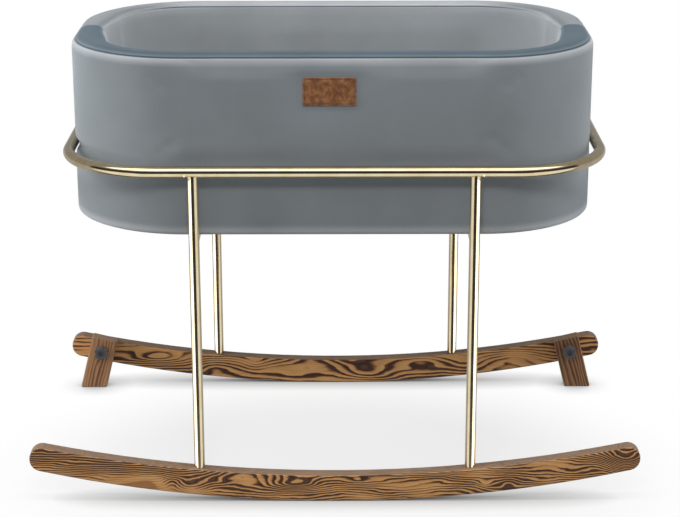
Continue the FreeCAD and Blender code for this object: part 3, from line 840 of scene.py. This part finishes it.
def makeTub(s):
    loop = tubLoop(s)
    half = totalLength(loop)
    panels = wallPanels(s)
    steps = [gradedSteps(totalLength(runs), s["clothStep"], s["besideSeam"]) for runs in panels]
    front = gradedSteps(half, s["clothStep"], s["besideSeam"])
    columns = front[:-1] + [half + d for d in front[:-1]]
    moved = swellTub(s, panels, steps, loop, columns)
    parts = np.split(moved, np.cumsum([len(rows) for rows in steps])[:-1])
    for level in range(s["refinements"]):
        steps = [midSteps(rows) for rows in steps]
        columns = midSteps(columns + [2 * half])[:-1]
        parts = [halve(halve(part, False).swapaxes(0, 1), True).swapaxes(0, 1) for part in parts]
    ends = np.array([min(d % half, half - d % half) for d in columns])
    outward = np.array([loopPoint(loop, d)[1] for d in columns])
    finished = []
    for place, (runs, rows, part) in enumerate(zip(panels, steps, parts)):
        grid = wallGrid([runs], [rows], loop, columns)
        normals = gridNormals(grid)
        length = totalLength(runs)
        toSeam = np.array([min(d if place else 1, length - d if place < 2 else 1) for d in rows])
        pull = np.exp(-(toSeam / s["seamWidth"]) ** 2)[:, None]
        if place < 2:
            pull = np.maximum(pull, np.exp(-(ends / s["seamWidth"]) ** 2)[None])
        bulge = endBulge(s, grid, outward, rows, place) if place < 2 else 0
        if place > 0:
            bulge = bulge + insideBulge(s, grid, outward, rows, place)
        shaped = grid + part + bulge - normals * pull[..., None] * s["seamDepth"]
        finished.append((shaped, seamAndHighlightShares(s, runs, rows, place, outward)))
    return finished, len(columns) // 2


def cutPanel(name, panel, firstColumn, lastColumn, material):
    # one sheet of cloth out of the grid; without columns it goes all the way round
    closed = lastColumn is None
    if closed:
        part, seamAndHighlight = panel
    else:
        part, seamAndHighlight = (np.take(v, range(firstColumn, lastColumn + 1), axis=1, mode="wrap") for v in panel)
    rows, count = part.shape[:2]
    made = newPiece(name, part.reshape(-1, 3), gridFaces(rows, count, closed), material)
    shares = made.data.attributes.new("seamAndHighlight", "FLOAT", "POINT")
    shares.data.foreach_set("value", seamAndHighlight.astype(np.float32).ravel())
    thick = made.modifiers.new("cloth thickness", "SOLIDIFY")
    thick.thickness = tubSet["clothThickness"]
    thick.offset = -1
    return made


def sheetOver(piece, node):
    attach(piece, "tub")
    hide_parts(node)


def coverTub(s):
    (cover, strip, liner), half = makeTub(s)
    for side, first, last in (("Front", 0, half), ("Back", half, 2 * half)):
        sheetOver(cutPanel("outerCover" + side, cover, first, last, wallVelvet),
                  "outer_cover_" + side.lower())
        sheetOver(cutPanel("rimStrip" + side, strip, first, last, rimVelvet[side]),
                  "rim_strip_" + side.lower())
    sheetOver(cutPanel("innerLiner", liner, 0, None, linerVelvet), "inner_liner")


coverTub(tubSet)
print("tub covered")


# Plates: a rounded oblong carried through levels of inset and height, closed at both ends

def ringPoints(halfLength, halfWidth, radius, counts):
    points = []
    for turn in (1, -1):
        for run, count in zip(halfLoop(halfLength, halfWidth, radius), counts):
            length = runLength(run)
            points += [turn * runPoint(run, length * k / count) for k in range(count)]
    return points


def stackPlate(name, halfLength, halfWidth, radius, levels, step, material):
    sharpest = 0.2 * mm
    counts = [max(2, round(runLength(run) / step)) for run in halfLoop(halfLength, halfWidth, radius)]
    vertices = []
    for inset, height in levels:
        ring = ringPoints(halfLength - inset, halfWidth - inset, max(radius - inset, sharpest), counts)
        vertices += [(x, y, height) for x, y in ring]
    count = 2 * sum(counts)
    last = len(vertices) - count
    faces = gridFaces(len(levels), count, True)
    faces += [tuple(range(count)), tuple(reversed(range(last, last + count)))]
    return newPiece(name, vertices, faces, material)


# A row of small rounded lengths round an oblong: stitches and staples

def rowTree():
    tree = bpy.data.node_groups.new("row round an oblong", "GeometryNodeTree")
    tree.interface.new_socket("Row", in_out="OUTPUT", socket_type="NodeSocketGeometry")
    for name in ("Long side", "Short side", "Corner", "Spacing", "Length", "Thickness"):
        tree.interface.new_socket(name, in_out="INPUT", socket_type="NodeSocketFloat")
    tree.interface.new_socket("Finish", in_out="INPUT", socket_type="NodeSocketMaterial")
    sizes = addNode(tree, "NodeGroupInput").outputs
    frameLine = addNode(tree, "GeometryNodeCurvePrimitiveQuadrilateral",
                        {"Width": sizes["Long side"], "Height": sizes["Short side"]})
    rounded = addNode(tree, "GeometryNodeFilletCurve", {"Curve": frameLine, "Count": 8,
                                                        "Radius": sizes["Corner"]}, mode="POLY")
    spaced = addNode(tree, "GeometryNodeResampleCurve",
                     {"Curve": rounded, "Length": sizes["Spacing"]}, mode="LENGTH")
    along = addNode(tree, "GeometryNodeInputTangent")
    turned = addNode(tree, "FunctionNodeAlignRotationToVector", {"Vector": along}, axis="X")
    bead = addNode(tree, "GeometryNodeMeshUVSphere", {"Segments": 8, "Rings": 6, "Radius": 0.5})
    size = addNode(tree, "ShaderNodeCombineXYZ", {"X": sizes["Length"], "Y": sizes["Thickness"],
                                                  "Z": sizes["Thickness"]})
    placed = addNode(tree, "GeometryNodeInstanceOnPoints",
                     {"Points": spaced, "Instance": bead,
                      "Rotation": turned, "Scale": size})
    real = addNode(tree, "GeometryNodeRealizeInstances", {"Geometry": placed})
    smooth = addNode(tree, "GeometryNodeSetShadeSmooth", {"Geometry": real})
    finished = addNode(tree, "GeometryNodeSetMaterial", {"Geometry": smooth,
                                                         "Material": sizes["Finish"]})
    addNode(tree, "NodeGroupOutput", {"Row": finished})
    return tree


oblongRow = rowTree()


def makeRow(name, place, **sizes):
    # keys are the tree's input names with _ for a space
    made = newPiece(name, [], [], sizes["Finish"])
    row = made.modifiers.new("row", "NODES")
    row.node_group = oblongRow
    for socket in oblongRow.interface.items_tree:
        if socket.in_out == "INPUT":
            row[socket.identifier] = sizes[socket.name.replace(" ", "_")]
    bake(made, row)
    made.data.transform(place)
    return made


# Leather patch: sewn flat on the front cover, with thread sunk in a pressed channel

patchSet = {
    "corner": 2.5 * mm,
    "edgeRound": 0.5 * mm,
    "bevel": 0.15 * mm,
    "step": 1.5 * mm,
    "stitchInset": 3.2 * mm,
    "channelHalf": 0.8 * mm,
    "channelFloor": 0.32 * mm,
    "channelDepth": 0.35 * mm,
    "border": 2.4 * mm,
    "stitchLength": 2.4 * mm,
    "stitchSpacing": 4 * mm,
    "thread": 1.2 * mm,
}


def makePatch(s):
    centre = (patchLow + patchHigh) / 2
    half = (patchHigh - patchLow) / 2
    thick = 2 * half.y
    soft, bevel, lane = s["edgeRound"], s["bevel"], s["stitchInset"]
    wide, flat, deep = s["channelHalf"], s["channelFloor"], thick - s["channelDepth"]
    levels = [(0, 0), (0, thick - soft), (bevel, thick - bevel), (soft, thick), (lane - wide, thick),
              (lane - flat, deep), (lane + flat, deep), (lane + wide, thick), (lane + s["border"], thick)]
    onWall = Matrix.Translation((centre.x, patchHigh.y, centre.z))
    upright = onWall @ Matrix.Rotation(math.radians(90), 4, "X")
    patch = stackPlate("leatherPatch", half.x, half.z, s["corner"], levels, s["step"], leather)
    patch.data.transform(upright)
    stitches = makeRow("patchStitches", upright @ Matrix.Translation((0, 0, deep)),
                       Long_side=2 * (half.x - lane), Short_side=2 * (half.z - lane), Corner=s["thread"],
                       Spacing=s["stitchSpacing"], Length=s["stitchLength"], Thickness=s["thread"],
                       Finish=plain["waxed brown thread"])
    for piece in (patch, stitches):
        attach(piece, "tub")
    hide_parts("leather_patch")


makePatch(patchSet)
print("leather patch sewn on")


# Dust cover under the tub, with the staples that hold it and the hem of the outer cover

dustSet = {
    "cornerRadius": 166 * mm,
    "step": 12 * mm,
    "turnedEdge": 9 * mm,
    "edgeRound": 0.6 * mm,
    "edgeShare": 0.3,
    "dipWidth": 1 * mm,
    "dipShare": 0.4,
    "stapleInset": 7 * mm,
    "stapleSpacing": 38 * mm,
    "stapleLength": 10 * mm,
    "stapleWire": 0.9 * mm,
}


def makeDustCover(s):
    lowest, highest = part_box("bottom_cover")
    thick = highest.z - lowest.z
    edge = s["turnedEdge"]
    levels = [(0, highest.z), (0, lowest.z + thick * s["edgeShare"]), (s["edgeRound"], lowest.z),
              (edge, lowest.z), (edge + s["dipWidth"], lowest.z + thick * s["dipShare"])]
    cover = stackPlate("dustCover", highest.x, highest.y, s["cornerRadius"], levels, s["step"],
                       plain["black spunbond"])
    cover.data.flip_normals()
    inset = s["stapleInset"]
    staples = makeRow("dustCoverStaples", Matrix.Translation((0, 0, lowest.z)),
                      Long_side=2 * (highest.x - inset), Short_side=2 * (highest.y - inset),
                      Corner=s["cornerRadius"] - inset, Spacing=s["stapleSpacing"],
                      Length=s["stapleLength"], Thickness=s["stapleWire"], Finish=plain["zinc plated steel"])
    for piece in (cover, staples):
        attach(piece, "tub")
    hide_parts("bottom_cover")


makeDustCover(dustSet)
print("dust cover stapled")


# Mattress: a foam pad blown up inside its cotton cover

mattressSet = {
    "cornerRadius": 138 * mm,
    "shrink": 5 * mm,
    "edgeRound": 12 * mm,
    "step": 8 * mm,
    "voxel": 6 * mm,
    "pressure": 4,
    "stiffness": 5,
    "swellCap": 5 * mm,
    "lift": 0.4 * mm,
}


def roundedLevels(height, radius, base):
    turns = [math.radians(a) for a in (90, 60, 30, 0)]
    under = [(radius - radius * math.cos(t), base + radius - radius * math.sin(t)) for t in turns]
    over = [(inset, 2 * base + height - level) for inset, level in reversed(under)]
    return under + over


def makeMattress(s):
    lowest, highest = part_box("mattress")
    thin = s["shrink"]
    height = highest.z - lowest.z - 2 * thin
    pad = stackPlate("mattressPad", highest.x - thin, highest.y - thin, s["cornerRadius"] - thin,
                     roundedLevels(height, s["edgeRound"], lowest.z + thin), s["step"],
                     plain["undyed cotton sateen"])
    remesh = pad.modifiers.new("remesh", "REMESH")
    remesh.mode = "VOXEL"
    remesh.voxel_size = s["voxel"]
    remesh.use_smooth_shade = True
    bake(pad, remesh)
    rest = meshPoints(pad.data)
    moved = blowUp(pad, np.zeros(len(rest)), s["pressure"], s["stiffness"], s["swellCap"])
    print("mattress swelled by up to", round(np.abs(moved).max() * 1000, 2), "mm")
    swelled = rest + moved
    swelled[:, 2] = np.maximum(swelled[:, 2], lowest.z + s["lift"])
    pad.data.vertices.foreach_set("co", swelled.astype(np.float32).ravel())
    smooth = pad.modifiers.new("smooth", "SUBSURF")
    smooth.levels = smooth.render_levels = 1
    bake(pad, smooth)
    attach(pad, "mattress")
    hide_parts("mattress")


makeMattress(mattressSet)
print("mattress filled")


# Weld beads where a tube ends on another

weldSet = {"bead": 0.8 * mm, "around": 48, "sides": 8}


def weldBead(tip, toward, acrossDirection, stubRadius, mainRadius):
    # the seam of a stub tube that ends square on a larger main tube; tip is on the main tube's axis
    toward, main = Vector(toward), Vector(acrossDirection)
    side = toward.cross(main)
    spots = []
    for k in range(weldSet["around"]):
        turn = 2 * math.pi * k / weldSet["around"]
        out = side * math.sin(turn) + main * math.cos(turn)
        rise = math.sqrt(mainRadius ** 2 - (stubRadius * math.sin(turn)) ** 2)
        spots.append((Vector(tip) - toward * rise + out * stubRadius, out, toward))
    return spots


def makeWelds(s):
    postLow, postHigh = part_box(posts[0])
    postRadius = (postHigh.x - postLow.x) / 2
    railRadius = (railHigh.z - railLow.z) / 2
    railHeight = (railHigh.z + railLow.z) / 2
    barLow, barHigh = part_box("left_crossbar")
    barRadius = (barHigh.z - barLow.z) / 2
    beads = []
    for name in posts:
        spot = middleOf(name)
        beads.append(weldBead((spot.x, spot.y, railHeight), (0, 0, 1), (1, 0, 0), postRadius, railRadius))
        inward = (0, 1 if spot.y > 0 else -1, 0)
        bar = (spot.x, spot.y, (barHigh.z + barLow.z) / 2)
        beads.append(weldBead(bar, inward, (0, 0, 1), barRadius, postRadius))
    vertices, faces = [], []
    for bead in beads:
        start = len(vertices)
        for spot, out, toward in bead:
            for k in range(s["sides"]):
                turn = 2 * math.pi * k / s["sides"]
                vertices.append(spot + (out * math.cos(turn) + toward * math.sin(turn)) * s["bead"])
        around, sides = len(bead), s["sides"]
        faces += [(start + a * sides + b, start + a * sides + (b + 1) % sides,
                   start + (a + 1) % around * sides + (b + 1) % sides, start + (a + 1) % around * sides + b)
                  for a in range(around) for b in range(sides)]
    welds = newPiece("weldBeads", vertices, faces, brass)
    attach(welds, "frame")


makeWelds(weldSet)
print("tubes welded")
